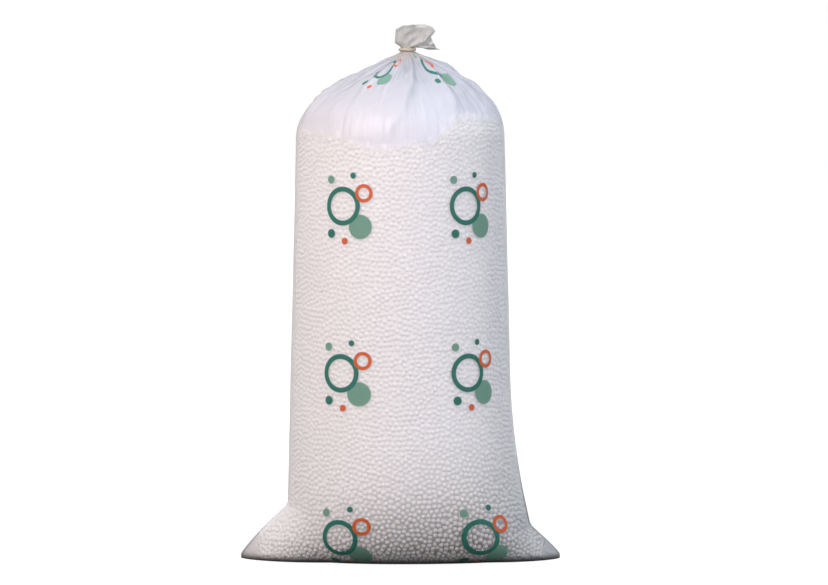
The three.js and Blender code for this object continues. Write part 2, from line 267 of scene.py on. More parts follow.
class BagForm:
    """The bag's surface: a turned outline that is widened, drawn out into ears and fanned out at the top"""

    def __init__(self, sizes):
        self.sizes = sizes
        self.belly = sizes.belly_width / 2
        self.shoulder = sizes.shoulder_width / 2
        self.neck = sizes.neck_width / 2
        self.neck_bottom = BAND_LOW.z - sizes.neck_margin
        self.neck_top = BAND_HIGH.z + sizes.neck_margin
        self.neck_shift = NECK_MIDDLE.x
        self.fill_height = sizes.shoulder_height - sizes.fill_drop

    def fill_edge(self, turn):
        """Height at which the beads leave the film"""
        rise = np.interp(np.degrees(turn), FILL_TURNS, FILL_RISES, period=360)
        ripple = sum(height * np.sin(ripples * turn + phase) for height, ripples, phase in FILL_RIPPLES)
        return self.fill_height + rise + ripple

    def wall_radius(self, height):
        """Radius of the turned wall: rounded at the foot, tapering to the shoulder"""
        s = self.sizes
        turned = np.sqrt(clamp01(height / s.foot_rounding))
        share = clamp01((height - s.belly_height) / (s.shoulder_height - s.belly_height))
        return mix(self.belly, self.shoulder, share) - s.foot_rounding * (1.0 - turned) ** 2

    def side_stretch(self, height, right):
        """How much wider the right side is, where it leans out"""
        s = self.sizes
        flare = s.flare_reach * clamp01(1.0 - height / s.flare_height) ** 2
        return 1.0 + np.where(right, flare / self.belly, 0.0)

    def ear_reach(self, height, right):
        """How far the ridge of an ear stands out of the wall"""
        s = self.sizes
        top = np.where(right, s.right_ear_height, s.left_ear_height)
        root = self.wall_radius(top) * self.side_stretch(top, right)
        up_ridge = clamp01((height - s.ear_blunt) / (top - s.ear_blunt)) ** s.ear_bow
        ridge = mix(s.ear_tip, root, up_ridge)
        wall = self.wall_radius(height) * self.side_stretch(height, right)
        return np.maximum(ridge - wall, 0.0) * (height < top)

    def place(self, turn, radius, height, ear_share=1.0):
        """Points of the bag, for points of the turned shape below the neck's top"""
        s = self.sizes
        right = np.cos(turn) > 0.0
        from_ridge = np.abs((turn + math.pi / 2) % math.pi - math.pi / 2)
        on_ridge = clamp01(1.0 - from_ridge / s.ear_spread) ** s.ear_sharpness
        inwards = (radius / self.wall_radius(height)) ** s.ear_fade
        ear = ear_share * self.ear_reach(height, right) * on_ridge * inwards
        up_wall = clamp01(height / s.shoulder_height)
        up_top = smooth(height, s.shoulder_height, self.neck_bottom)
        tuck = 1.0 - s.front_tuck * clamp01(1.0 - height / s.front_tuck_height) ** 2
        depth = mix(s.foot_depth / s.belly_width, s.shoulder_depth / s.shoulder_width, up_wall) * tuck
        squared = s.foot_square * clamp01(1.0 - height / s.foot_square_height) ** 2
        forwards = np.sign(np.sin(turn)) * np.abs(np.sin(turn)) ** (1.0 - squared)
        x = (radius * self.side_stretch(height, right) + ear) * np.cos(turn) + self.neck_shift * up_top
        y = radius * mix(depth, 1.0, up_top) * forwards + ear * np.sin(turn)
        return np.stack([x, y, height + 0.0 * turn], axis=-1)

    def fan(self, across, along, share, reach):
        """Points of the film above the neck, laid out as a fan that leans to the right"""
        s = self.sizes
        lean = s.tail_lean + s.tail_spread * across
        out = share * reach
        wider = 1.0 + s.tail_widening * smooth(share, 0.0, s.tail_spring)
        x = self.neck_shift + self.neck * across * wider + out * np.sin(lean)
        y = along * mix(self.neck, s.tail_depth / 2, share)
        droop = s.tail_droop * smooth(across, *DROOP_ACROSS) * smooth(share, *DROOP_ALONG)
        return np.stack([x, y, self.neck_top + out * np.cos(lean) - droop], axis=-1)


def bezier(points, rows):
    """Points of a curve with four control points, without its first point"""
    t = np.linspace(0.0, 1.0, rows + 1)[1:, None]
    a, b, c, d = (np.array(p) for p in points)
    return (1 - t) ** 3 * a + 3 * t * (1 - t) ** 2 * b + 3 * t * t * (1 - t) * c + t ** 3 * d


def straight(start, end, rows):
    """Points of a straight stretch, without its first point"""
    return mix(np.array(start), np.array(end), np.linspace(0.0, 1.0, rows + 1)[1:, None])


BASE_ROWS = 10
ROUNDING_ROWS = 8
WALL_ROWS = 92
TOP_ROWS = 66
NECK_ROWS = 6
TAIL_ROWS = 26
WALL_ROW = BASE_ROWS + ROUNDING_ROWS
SHOULDER_ROW = WALL_ROW + WALL_ROWS
NECK_ROW = SHOULDER_ROW + TOP_ROWS


def film_outline(form):
    """The film's half outline, from the base's middle to the open edge: radius, height and film length"""
    s = form.sizes
    foot = form.belly - s.foot_rounding
    turned = np.linspace(0.0, 1.0, ROUNDING_ROWS + 1)[1:]
    rounding = [form.belly - s.foot_rounding * (1 - turned) ** 2, s.foot_rounding * turned ** 2]
    heights = mix(s.foot_rounding, s.shoulder_height, np.linspace(0.0, 1.0, WALL_ROWS + 1)[1:])
    shoulder = [
        (form.shoulder, s.shoulder_height),
        (form.shoulder, s.shoulder_height + s.shoulder_roll),
        (form.neck + s.gather_run, form.neck_bottom - s.gather_drop),
        (form.neck, form.neck_bottom),
    ]
    points = np.concatenate([
        [(0.0, 0.0)],
        straight((0.0, 0.0), (foot, 0.0), BASE_ROWS),
        np.stack(rounding, axis=-1),
        np.stack([form.wall_radius(heights), heights], axis=-1),
        bezier(shoulder, TOP_ROWS),
        straight((form.neck, form.neck_bottom), (form.neck, form.neck_top), NECK_ROWS),
        straight((form.neck, form.neck_top), (form.neck, form.neck_top + s.tail_length), TAIL_ROWS),
    ])
    steps = np.linalg.norm(np.diff(points, axis=0), axis=1)
    return points[:, 0], points[:, 1], np.concatenate([[0.0], np.cumsum(steps)])


# How far each seed moves the random fields
WAVE_SHIFT = np.array([3.7, 1.3, 2.1])
FACET_SHIFT = np.array([2.3, 3.1, 1.7])


def waves(points, size, seed):
    """Smooth random heights, within -1 and 1, over points in space"""
    offset = Vector(seed * WAVE_SHIFT)
    heights = [noise.noise(Vector(p) + offset) for p in points.reshape(-1, 3) / size]
    return np.array(heights).reshape(points.shape[:-1])


def facets(points, size, seed):
    """Heights of crumpled film over points in space: flat facets that meet in sharp ridges"""
    offset = Vector(seed * FACET_SHIFT)
    heights = [noise.voronoi(Vector(p) + offset)[0][0] for p in points.reshape(-1, 3) / size]
    return np.array(heights).reshape(points.shape[:-1])


# Folds are narrower and shallower inside these distances from the neck's middle, in metres
FULL_WIDTH_RADIUS = 0.06
FULL_DEPTH_RADIUS = 0.05
NARROWEST_FOLD = 0.0003
# How folds differ: stray as a share of their spacing, drift in radians, share of the depth, and skew
PLEAT_STRAY = 0.42
PLEAT_DRIFT = 0.3
PLEAT_SHARES = (0.3, 1.0)
PLEAT_SKEWS = (0.5, 2.0)
# The hollow beside a fold: share of its height and of its width
HOLLOW_HEIGHT = 0.3
HOLLOW_WIDTH = 3.0
# A climb is 0 at the shoulder and 1 at the neck. Climbs at which folds start, then those over which they grow
LONG_PLEAT_STARTS = (-0.35, 0.2)
SHORT_PLEAT_STARTS = (0.2, 0.7)
PLEAT_GROWTH = 0.35
CREASE_GROWTH = 0.2
# Their widths in metres, and the seeds of their draws
LONG_PLEAT_WIDTHS = (0.006, 0.015)
SHORT_PLEAT_WIDTHS = (0.002, 0.005)
LONG_PLEAT_SEED = 11
SHORT_PLEAT_SEED = 12
# Hard creases and ridges by the neck: turn, climb at which they start, height and width
CREASES = (
    (-0.80, 0.62, -0.0060, 0.0045),
    (-1.70, 0.72, -0.0045, 0.0035),
    (-2.35, 0.55, -0.0030, 0.0050),
    (0.00, 0.55, 0.0070, 0.0220),
)


def away_from(turn, line):
    """Angle from a line, between minus and plus half a turn"""
    return (turn - line + math.pi) % (2 * math.pi) - math.pi


def fold_width(width, radius):
    """Width of a fold, which narrows towards the neck"""
    return width * np.minimum(1.0, radius / FULL_WIDTH_RADIUS) + NARROWEST_FOLD


def fold_rise(climb, radius, start, growth):
    """How far a fold has grown, as a share of its height"""
    return smooth(climb, start, start + growth) * np.minimum(1.0, radius / FULL_DEPTH_RADIUS)


def pleat_set(turn, climb, radius, pleats, depth, starts, widths, seed):
    """Height of one set of folds that run out of the neck"""
    draw = np.random.default_rng(seed)
    field = np.zeros_like(turn)
    for pleat in range(pleats):
        middle = 2 * math.pi * (pleat + draw.uniform(-PLEAT_STRAY, PLEAT_STRAY)) / pleats
        drift = draw.uniform(-PLEAT_DRIFT, PLEAT_DRIFT)
        start = draw.uniform(*starts)
        height = depth * draw.uniform(*PLEAT_SHARES)
        width = draw.uniform(*widths)
        skew = draw.uniform(*PLEAT_SKEWS)
        away = away_from(turn, middle + drift * (1.0 - climb) ** 2) * radius
        away = np.abs(np.where(away > 0.0, away * skew, away / skew)) / fold_width(width, radius)
        profile = np.exp(-away) - HOLLOW_HEIGHT * np.exp(-away / HOLLOW_WIDTH)
        field += height * fold_rise(climb, radius, start, PLEAT_GROWTH) * profile
    return field


def pleat_field(turn, climb, radius, settings):
    """Height of all the folds of the gathered film"""
    spot = (turn, climb, radius)
    s = settings
    field = pleat_set(
        *spot, s.long_pleats, s.long_pleat_depth, LONG_PLEAT_STARTS, LONG_PLEAT_WIDTHS, LONG_PLEAT_SEED
    )
    field += pleat_set(
        *spot, s.short_pleats, s.short_pleat_depth, SHORT_PLEAT_STARTS, SHORT_PLEAT_WIDTHS, SHORT_PLEAT_SEED
    )
    for middle, start, tall, width in CREASES:
        away = np.abs(away_from(turn, middle)) * radius
        profile = np.exp(-away / fold_width(width, radius))
        field += tall * fold_rise(climb, radius, start, CREASE_GROWTH) * profile
    return field


def outward(points):
    """Unit normals of a closed grid of points, rows by columns"""
    around = np.roll(points, -1, axis=1) - np.roll(points, 1, axis=1)
    return unit(np.cross(around, np.gradient(points, axis=0)))


MERGE_DISTANCE = 1e-7


def rolled_shape(points):
    """A grid of points, rows by columns, rolled up so that its columns close. Vertices know their place."""
    rows, columns = points.shape[0] - 1, points.shape[1]
    shape = bmesh.new()
    shape.loops.layers.uv.new("film")
    place = shape.verts.layers.int.new("place")
    bmesh.ops.create_grid(shape, x_segments=columns, y_segments=rows, size=1.0, calc_uvs=True)
    for vertex in shape.verts:
        column = round((vertex.co.x + 1.0) / 2.0 * columns) % columns
        row = round((vertex.co.y + 1.0) / 2.0 * rows)
        vertex[place] = row * columns + column
        vertex.co = points[row, column]
    bmesh.ops.remove_doubles(shape, verts=shape.verts, dist=MERGE_DISTANCE)
    bmesh.ops.dissolve_degenerate(shape, edges=shape.edges, dist=MERGE_DISTANCE)
    return shape


def to_mesh(shape, name, rounded=True):
    """Turns a worked shape into a mesh"""
    for face in shape.faces:
        face.smooth = rounded
    mesh = bpy.data.meshes.new(name)
    shape.to_mesh(mesh)
    shape.free()
    return mesh


# Crumple between the shoulder and the neck, in climbs, with its facets' size, share of its depth and seed
CRUMPLE_GROWS = (-0.05, 0.25)
CRUMPLE_ENDS = (0.75, 0.98)
CRUMPLE_STRETCH = 1.3
CRUMPLE_FACETS = ((0.36, 1.0, 4), (0.17, 1.0 / 3.0, 6))
# Climbs over which folds are levelled out, and over which their hollows and ridges grow
FOLDS_LEVEL = (0.1, 0.4)
HOLLOWS_GROW = (0.15, 0.5)
RIDGES_GROW = (-0.1, 0.5)


def gathered_folds(turn, climb, radius, settings):
    """Height of the folds and facets in the film between the shoulder and the neck"""
    folds = pleat_field(turn, np.minimum(climb, 1.0), radius, settings)
    drawn = np.stack([np.cos(turn), np.sin(turn), CRUMPLE_STRETCH * climb], axis=-1)
    loose = smooth(climb, *CRUMPLE_GROWS) * (1.0 - smooth(climb, *CRUMPLE_ENDS))
    for size, share, seed in CRUMPLE_FACETS:
        folds += settings.crumple * share * facets(drawn, size, seed) * loose
    folds -= folds.mean(axis=1, keepdims=True) * smooth(climb, *FOLDS_LEVEL)
    return folds * np.where(folds < 0.0, smooth(climb, *HOLLOWS_GROW), smooth(climb, *RIDGES_GROW))


# Length of the open end from its left side to its right, in metres: a torn notch and a corner on the right
TAIL_ACROSS = (-1.0, -0.83, -0.40, -0.17, 0.10, 0.23, 0.33, 0.60, 0.90, 1.0)
TAIL_EDGE = (0.0254, 0.0295, 0.0370, 0.0415, 0.0437, 0.0420, 0.0310, 0.0267, 0.0247, 0.0275)
# The fan's flounces: how many go round, twist and depth, and the random ones' depth, size and seed
FLOUNCES = 9
FLOUNCE_TWIST = 2.0
FLOUNCE_DEPTH = 0.16
RANDOM_FLOUNCE_DEPTH = 0.55
RANDOM_FLOUNCE_SIZE = 0.35
RANDOM_FLOUNCE_SEED = 5
# The ragged edge: share of the fan's length, size and seed
RAGGED_SHARE = 0.05
RAGGED_SIZE = 0.3
RAGGED_SEED = 9


def tail_points(form, turn, height):
    """Points of the film above the neck: a flounced fan with a ragged edge"""
    share = clamp01((height - form.neck_top) / form.sizes.tail_length)
    around = np.stack([np.cos(turn), np.sin(turn), share], axis=-1)
    flounce = FLOUNCE_DEPTH * np.sin(FLOUNCES * turn + FLOUNCE_TWIST * share)
    flounce += RANDOM_FLOUNCE_DEPTH * waves(around, RANDOM_FLOUNCE_SIZE, RANDOM_FLOUNCE_SEED)
    ragged = 1.0 + RAGGED_SHARE * waves(around * (1, 1, 0), RAGGED_SIZE, RAGGED_SEED)
    across = np.cos(turn)
    reach = np.interp(across, TAIL_ACROSS, TAIL_EDGE) * ragged
    return form.fan(across, (1.0 + flounce * share) * np.sin(turn), share, reach)


# Loose waves in the wall: their middle, and each one's size in metres, share of the slack and seed
SLACK_MIDDLE = 0.5
SLACK_WAVES = ((0.11, 0.35, 2), (0.045, 0.15, 3))
SLACK_HEIGHTS = (0.0, 0.05)
SLACK_CLIMB = 0.9


def slack_lift(points, height, climb, settings):
    """How far the film stands off its form in loose waves"""
    loose = SLACK_MIDDLE
    for size, share, seed in SLACK_WAVES:
        loose = loose + share * waves(points, size, seed)
    return settings.slack * loose * smooth(height, *SLACK_HEIGHTS) * (climb < SLACK_CLIMB)


# Where the film comes away from the beads, in metres: below and above their edge, and from the ears' tips
CONTACT_BELOW = 0.030
CONTACT_ABOVE = 0.036
EAR_EMPTIES = 0.030
EAR_EMPTY = 0.006
EARS_TOP = 0.1


def bead_contact(form, turn, height, points):
    """How far the film lies on beads: 1 on the wall, 0 above the beads and in the tips of the ears"""
    edge = form.fill_edge(turn)
    tip = form.sizes.ear_tip
    on_wall = 1.0 - smooth(height, edge - CONTACT_BELOW, edge + CONTACT_ABOVE)
    in_tip = smooth(np.abs(points[..., 0]), tip - EAR_EMPTIES, tip - EAR_EMPTY) * (height < EARS_TOP)
    return on_wall * (1.0 - in_tip)


HEIGHT_ERROR = 1e-9


def film_points(form, settings):
    """Points of the film, rows by columns, each row's film length, and how far each point lies on beads"""
    radius, height, run = film_outline(form)
    turn, radius = np.meshgrid(round_turn(settings.columns), radius)
    height = np.broadcast_to(height[:, None], turn.shape)
    to_neck = (run - run[SHOULDER_ROW]) / (run[NECK_ROW] - run[SHOULDER_ROW])
    climb = np.broadcast_to(to_neck[:, None], turn.shape)
    points = form.place(turn, radius, np.minimum(height, form.neck_top))
    in_tail = height > form.neck_top + HEIGHT_ERROR
    points[in_tail] = tail_points(form, turn, height)[in_tail]
    lift = gathered_folds(turn, climb, radius, settings) + slack_lift(points, height, climb, settings)
    points = points + outward(points) * np.where(in_tail, 0.0, lift)[..., None]
    points[..., 2] = np.maximum(points[..., 2], 0.0)
    points[: BASE_ROWS + 1, :, 2] = 0.0
    return points, run, bead_contact(form, turn, height, points)


def new_piece(name, mesh, material, node):
    """A finished piece of the object, in place of a node of the frame"""
    piece = bpy.data.objects.new(name, mesh)
    bpy.context.scene.collection.objects.link(piece)
    piece.data.materials.append(material)
    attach(piece, "root")
    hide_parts(node)
    return piece


class NodeSheet:
    """Adds nodes to a node tree and links them"""

    def __init__(self, tree):
        self.tree = tree

    def add(self, kind, inputs=(), **settings):
        node = self.tree.nodes.new(kind)
        for key, value in settings.items():
            setattr(node, key, value)
        for socket, value in dict(inputs).items():
            self.feed(node.inputs[socket], value)
        return node

    def feed(self, socket, value):
        if isinstance(value, bpy.types.NodeSocket):
            self.tree.links.new(value, socket)
        else:
            socket.default_value = value

    def math(self, operation, *values, clamp=False):
        node = self.add("ShaderNodeMath", operation=operation, use_clamp=clamp)
        for socket, value in zip(node.inputs, values):
            self.feed(socket, value)
        return node.outputs[0]

    def times(self, first, *others):
        """The product of several values"""
        for other in others:
            first = self.math("MULTIPLY", first, other)
        return first

    def vector(self, operation, inputs):
        return self.add("ShaderNodeVectorMath", inputs, operation=operation).outputs[0]

    def mix(self, share, a, b):
        """One colour turned into another"""
        node = self.add("ShaderNodeMix", data_type="RGBA")
        self.feed(node.inputs[0], share)
        for socket, value in ((node.inputs[6], a), (node.inputs[7], b)):
            self.feed(socket, value if isinstance(value, bpy.types.NodeSocket) else (*value, 1.0))
        return node.outputs[2]

    def blend(self, share, a, b):
        """One number turned into another"""
        return self.add("ShaderNodeMix", {0: share, 2: a, 3: b}).outputs[0]

    def ramp(self, value, low, high, at_low=0.0, at_high=1.0):
        """What a value comes to between low and high, and no further"""
        return self.add("ShaderNodeMapRange", {
            "Value": value, "From Min": low, "From Max": high, "To Min": at_low, "To Max": at_high,
        }).outputs[0]

    def noise(self, place, scale, detail, distortion=0.0):
        """Smooth random values over a place"""
        return self.add("ShaderNodeTexNoise", {
            "Vector": place, "Scale": scale, "Detail": detail, "Distortion": distortion,
        }).outputs["Fac"]

    def cells(self, place, scale):
        """Distances from the middles of random cells"""
        return self.add("ShaderNodeTexVoronoi", {"Vector": place, "Scale": scale}).outputs["Distance"]

    def bump(self, height, strength, distance):
        inputs = {"Height": height, "Strength": strength, "Distance": distance}
        return self.add("ShaderNodeBump", inputs).outputs[0]

    def place(self):
        """Place on the piece, in metres"""
        return self.add("ShaderNodeTexCoord").outputs["Object"]

    def parts(self, place):
        """The three coordinates of a place"""
        return self.add("ShaderNodeSeparateXYZ", {0: place}).outputs[:]


def new_material(name):
    """A material with a Principled shader, and its node sheet"""
    material = bpy.data.materials.new(name)
    material.use_nodes = True
    sheet = NodeSheet(material.node_tree)
    return material, sheet, material.node_tree.nodes["Principled BSDF"]


# Painted shade by the floor reaches higher up on the bag's right side: sides between which that changes, and
# by how much, in metres.
# All sides are shaded at the floor, from where heights count this many times until they meet that slant.
SHADE_SIDES = (-0.10, 0.16)
SHADE_SLANT = 0.060
SHADE_STEEPNESS = 2.5
# Sides between which the colour of the painted shade by the floor changes
FAR_RIGHT = (0.08, 0.17)
PAINTED_FLOOR_SHADE = "near_floor"


def painted_floor_shade_group():
    """Node group that film, beads and the mass behind them share: nearness to the floor and to the right,
    which masks the painted shade by the floor
    """
    tree = bpy.data.node_groups.get(PAINTED_FLOOR_SHADE)
    if tree:
        return tree
    tree = bpy.data.node_groups.new(PAINTED_FLOOR_SHADE, "ShaderNodeTree")
    tree.interface.new_socket("Place", in_out="INPUT", socket_type="NodeSocketVector")
    tree.interface.new_socket("Top", in_out="INPUT", socket_type="NodeSocketFloat")
    tree.interface.new_socket("Low", in_out="OUTPUT", socket_type="NodeSocketFloat")
    tree.interface.new_socket("Right", in_out="OUTPUT", socket_type="NodeSocketFloat")
    sheet = NodeSheet(tree)
    given = sheet.add("NodeGroupInput").outputs
    x, _, z = sheet.parts(given["Place"])
    slanted = sheet.math("SUBTRACT", z, sheet.ramp(x, *SHADE_SIDES, -SHADE_SLANT, SHADE_SLANT))
    height = sheet.math("MINIMUM", slanted, sheet.math("MULTIPLY", z, SHADE_STEEPNESS))
    low = sheet.math("POWER", sheet.ramp(height, given["Top"], 0.0), 2.0)
    sheet.add("NodeGroupOutput", {"Low": low, "Right": sheet.ramp(x, *FAR_RIGHT)})
    return tree


def near_floor(sheet, place, top):
    """How near a place is to the floor, from a height down, and how far to the right it lies, as shares:
    masks of the painted shade by the floor
    """
    group = sheet.add("ShaderNodeGroup", node_tree=painted_floor_shade_group())
    sheet.feed(group.inputs["Place"], place)
    sheet.feed(group.inputs["Top"], top)
    return group.outputs["Low"], group.outputs["Right"]


# Film lengths from the middle of the base: to the wall's foot, the shoulder, the neck and the open edge
FilmRuns = namedtuple("FilmRuns", "wall shoulder neck edge")

NOISE_MIDDLE = 0.5
# Scale and detail of the film's cloudiness
CLOUD_NOISE = (14.0, 3.0)
RIM_POWER = 9.0
TAIL_FADE = 0.01
# Contact with the beads at which the film looks loose and tight
LOOSE_CONTACT = 0.64
TIGHT_CONTACT = 0.92
# Clumps of beads that stray over the edge of that: scale and detail, reach, and how soon they start beside it
CLUMP_NOISE = (110.0, 1.0)
CLUMP_REACH = 0.5
CLUMP_START = 6.0
# Streaks that run to the neck: how many round the bag, breaks on their way, and scale and detail
STREAK_DENSITY = 14.0
STREAK_BREAKS = 9.0
STREAK_NOISE = (1.0, 3.0)


class FilmSpot:
    """What the film's finish depends on at a spot, as sockets of its material"""

    def __init__(self, sheet, settings, runs):
        self.place = sheet.place()
        self.x, self.y, self.z = sheet.parts(self.place)
        self.round, self.along, _ = sheet.parts(sheet.add("ShaderNodeUVMap", uv_map="film").outputs[0])
        neck = runs.neck / runs.edge
        self.climb = sheet.ramp(self.along, runs.shoulder / runs.edge, neck)
        self.in_tail = sheet.ramp(self.along, neck - TAIL_FADE, neck + TAIL_FADE)
        self.on_edge = sheet.add("ShaderNodeLayerWeight").outputs["Facing"]
        self.rim = sheet.math("POWER", self.on_edge, RIM_POWER)
        self.cloud = sheet.noise(self.place, *CLOUD_NOISE)
        self.streak = self.neck_streaks(sheet)
        self.even, self.tight = self.tightness(sheet)
        # Masks of the painted shade by the floor and of its bluer right side
        self.low, self.far_right = near_floor(sheet, self.place, settings.floor_shade_height)

    def neck_streaks(self, sheet):
        """Fine random streaks that run from the shoulder to the neck"""
        level = sheet.add("ShaderNodeCombineXYZ", {0: self.x, 1: self.y}).outputs[0]
        from_neck = sheet.vector("SUBTRACT", {0: level, 1: (NECK_MIDDLE.x, 0.0, 0.0)})
        wide = sheet.vector("SCALE", {0: sheet.vector("NORMALIZE", {0: from_neck}), 3: STREAK_DENSITY})
        high = sheet.add("ShaderNodeCombineXYZ", {2: sheet.math("MULTIPLY", self.along, STREAK_BREAKS)})
        return sheet.noise(sheet.vector("ADD", {0: wide, 1: high.outputs[0]}), *STREAK_NOISE)

    def tightness(self, sheet):
        """How tightly the film lies on the beads, without and with clumps that stray over the edge"""
        contact = sheet.add("ShaderNodeAttribute", attribute_name="contact").outputs["Fac"]
        by_edge = sheet.math("MULTIPLY", sheet.math("SUBTRACT", 1.0, contact), CLUMP_START, clamp=True)
        clumps = sheet.math("SUBTRACT", sheet.noise(self.place, *CLUMP_NOISE), NOISE_MIDDLE)
        touching = sheet.math("MULTIPLY_ADD", sheet.times(clumps, by_edge), CLUMP_REACH, contact)
        return [sheet.ramp(value, LOOSE_CONTACT, TIGHT_CONTACT) for value in (contact, touching)]


# Rings and dots of one motif: ink, middle across and up, outer radius and a ring's width (0 for a full dot)
MOTIF = (
    ("dark", (-0.010, 0.008), 0.027, 0.0075),
    ("pale", (0.017, -0.020), 0.017, 0.0),
    ("warm", (0.022, 0.026), 0.013, 0.0055),
    ("dark", (-0.028, -0.030), 0.0065, 0.0),
    ("warm", (-0.006, -0.040), 0.005, 0.0),
    ("pale", (-0.030, 0.044), 0.006, 0.0),
    ("dark", (0.006, 0.050), 0.0045, 0.0),
)
# Widths of soft edges, in metres
MOTIF_EDGE = 0.0006
HOLE_EDGE = 0.0012


def flat_place(sheet, settings, spot, runs):
    """Place on the film laid flat, in metres: across a face from the print's middle, and up the film"""
    face = settings.lay_flat_width
    across = sheet.math("MULTIPLY_ADD", spot.round, 2 * face, -settings.print_shift)
    return sheet.math("WRAP", across, face / 2, -face / 2), sheet.math("MULTIPLY", spot.along, runs.edge)


def spot_mask(sheet, x, y, middle, outer, ring, soft):
    """Mask of a dot, or of a ring where a ring's width is given"""
    squares = [sheet.math("POWER", sheet.math("SUBTRACT", a, b), 2.0) for a, b in zip((x, y), middle)]
    distance = sheet.math("SQRT", sheet.math("ADD", *squares))
    if ring:
        distance = sheet.math("ABSOLUTE", sheet.math("SUBTRACT", distance, outer - ring / 2))
    edge = ring / 2 if ring else outer
    return sheet.math("MULTIPLY", sheet.math("SUBTRACT", edge, distance), 1.0 / soft, clamp=True)


def print_masks(sheet, settings, across, up, wall_run):
    """Masks of the three inks: motifs in two columns on each face, repeated up the film"""
    beside = sheet.math("SUBTRACT", sheet.math("ABSOLUTE", across), settings.print_gap / 2)
    x = sheet.math("MULTIPLY", beside, sheet.math("SIGN", across))
    middle = wall_run + settings.print_rise
    half = settings.print_pitch / 2
    y = sheet.math("SUBTRACT", sheet.math("WRAP", up, middle + half, middle - half), middle)
    masks = {}
    for ink, place, outer, ring in MOTIF:
        inside = spot_mask(sheet, x, y, place, outer, ring, MOTIF_EDGE)
        masks[ink] = sheet.math("MAXIMUM", masks[ink], inside) if ink in masks else inside
    return masks


# The tube's folds lie a quarter of its girth from the seam of the mesh
FOLD_PLACE = 0.25
# How the painted contact shadow at the floor fades upwards
CONTACT_SHADOW_POWER = 1.6
# Share of a line's width, or of its height, at which it is darkest
LINE_CORE = 0.3
LINE_FADE = 0.6
EAR_LINE_SHARE = 0.75
# Painted shade on the right edge where it turns away: how dark, between which sides, and how far turned
RIGHT_EDGE_SHADE_SHARE = 0.85
SHADED_RIGHT_SIDES = (0.10, 0.16)
TURNED_AWAY = (0.80, 0.92)


def edge_lines_and_shade(sheet, settings, spot):
    """Mask of the painted contact shadow at the floor, the dark lines on the ears' ridges, and painted shade
    on the right edge where it turns away
    """
    # Painted contact shadow at the floor
    contact_shadow = sheet.math("POWER", sheet.ramp(spot.z, settings.contact_shadow_height, 0.0), CONTACT_SHADOW_POWER)
    from_fold = sheet.math("WRAP", sheet.math("SUBTRACT", spot.round, FOLD_PLACE), FOLD_PLACE, -FOLD_PLACE)
    aside = sheet.math("MULTIPLY", sheet.math("ABSOLUTE", from_fold), 2 * settings.lay_flat_width)
    line = sheet.ramp(aside, settings.edge_line, LINE_CORE * settings.edge_line, at_high=EAR_LINE_SHARE)
    on_ear = sheet.ramp(spot.z, settings.ear_line_height, LINE_FADE * settings.ear_line_height)
    on_edge = sheet.ramp(spot.z, settings.right_edge_shade_height, LINE_FADE * settings.right_edge_shade_height)
    right = sheet.ramp(spot.x, *SHADED_RIGHT_SIDES, at_high=RIGHT_EDGE_SHADE_SHARE)
    # Painted shade on the right edge where it turns away from view
    turned_away_shade = sheet.times(on_edge, right, sheet.ramp(spot.on_edge, *TURNED_AWAY))
    return sheet.math("MAXIMUM", contact_shadow, sheet.math("MAXIMUM", sheet.times(line, on_ear), turned_away_shade))


# Sides between which the film turns from painted warm lamp light on the left to its own cool tint, in metres
LAMP_WARMED_SIDES = (-0.10, 0.06)
# How the painted shade in the gathers grows towards the neck
GATHER_SHADE_POWER = 0.7
BUNCHED_CLIMBS = (0.80, 1.0)
BUNCHED_SHARE = 0.8
# Painted highlights along the streaks: streak values that look bright, how bright, and how soon they do above
# the shoulder
HIGHLIGHT_STREAKS = (0.52, 0.72)
HIGHLIGHT_SHARE = 0.7
HIGHLIGHT_GROWTH = 1.6


def film_tone(sheet, settings, spot, shaded):
    """Colour of the bare film, from the beads up to the open end"""
    # Painted warm lamp light on the left, turning to the film's own cool tint on the right
    to_right = sheet.ramp(spot.x, *LAMP_WARMED_SIDES)
    loose = sheet.mix(to_right, settings.loose_lamp_warmed_tint, settings.loose_tint)
    # Painted shade in the gathers: loose film darkens towards the neck
    loose = sheet.mix(sheet.math("POWER", spot.climb, GATHER_SHADE_POWER), loose, settings.gather_shade_tint)
    # Painted highlights along the streaks in the loose film, which lift the painted shade of the gathers
    above = sheet.math("MULTIPLY", spot.climb, HIGHLIGHT_GROWTH, clamp=True)
    highlighted = sheet.times(sheet.ramp(spot.streak, *HIGHLIGHT_STREAKS, at_high=HIGHLIGHT_SHARE), above)
    loose = sheet.mix(highlighted, loose, settings.loose_tint)
    tone = sheet.mix(spot.tight, loose, sheet.mix(to_right, settings.lamp_warmed_tint, settings.tint))
    # Painted shade by the floor, bluer on the right
    tone = sheet.mix(shaded, tone, sheet.mix(spot.far_right, settings.floor_shade_tint, settings.right_floor_shade_tint))
    bunched = sheet.ramp(spot.climb, *BUNCHED_CLIMBS, at_high=BUNCHED_SHARE)
    tone = sheet.mix(bunched, tone, settings.neck_tint)
    return sheet.mix(spot.rim, sheet.mix(spot.in_tail, tone, settings.tail_tint), settings.rim_tint)


# Opacity: how far it varies, and how much clearer the film is at the floor and on the right
HAZE_SPREAD = 0.3
HAZE_LEAST = 0.85
FOOT_CLEARNESS = 0.78
FOOT_CLEAR_HEIGHT = 0.18
SIDE_CLEARNESS = 0.8
CLEAR_SIDES = (0.05, 0.16)
RIM_OPACITY = 0.75
# Opacity of the dark lines, air holes, painted contact shadow and painted shade
DARK_LINE_AND_SHADE_OPACITY = 0.9
INK_OPACITY = 0.78
# Share of its opacity that loose film loses for the lamps' light
LIGHT_THROUGH = 0.8


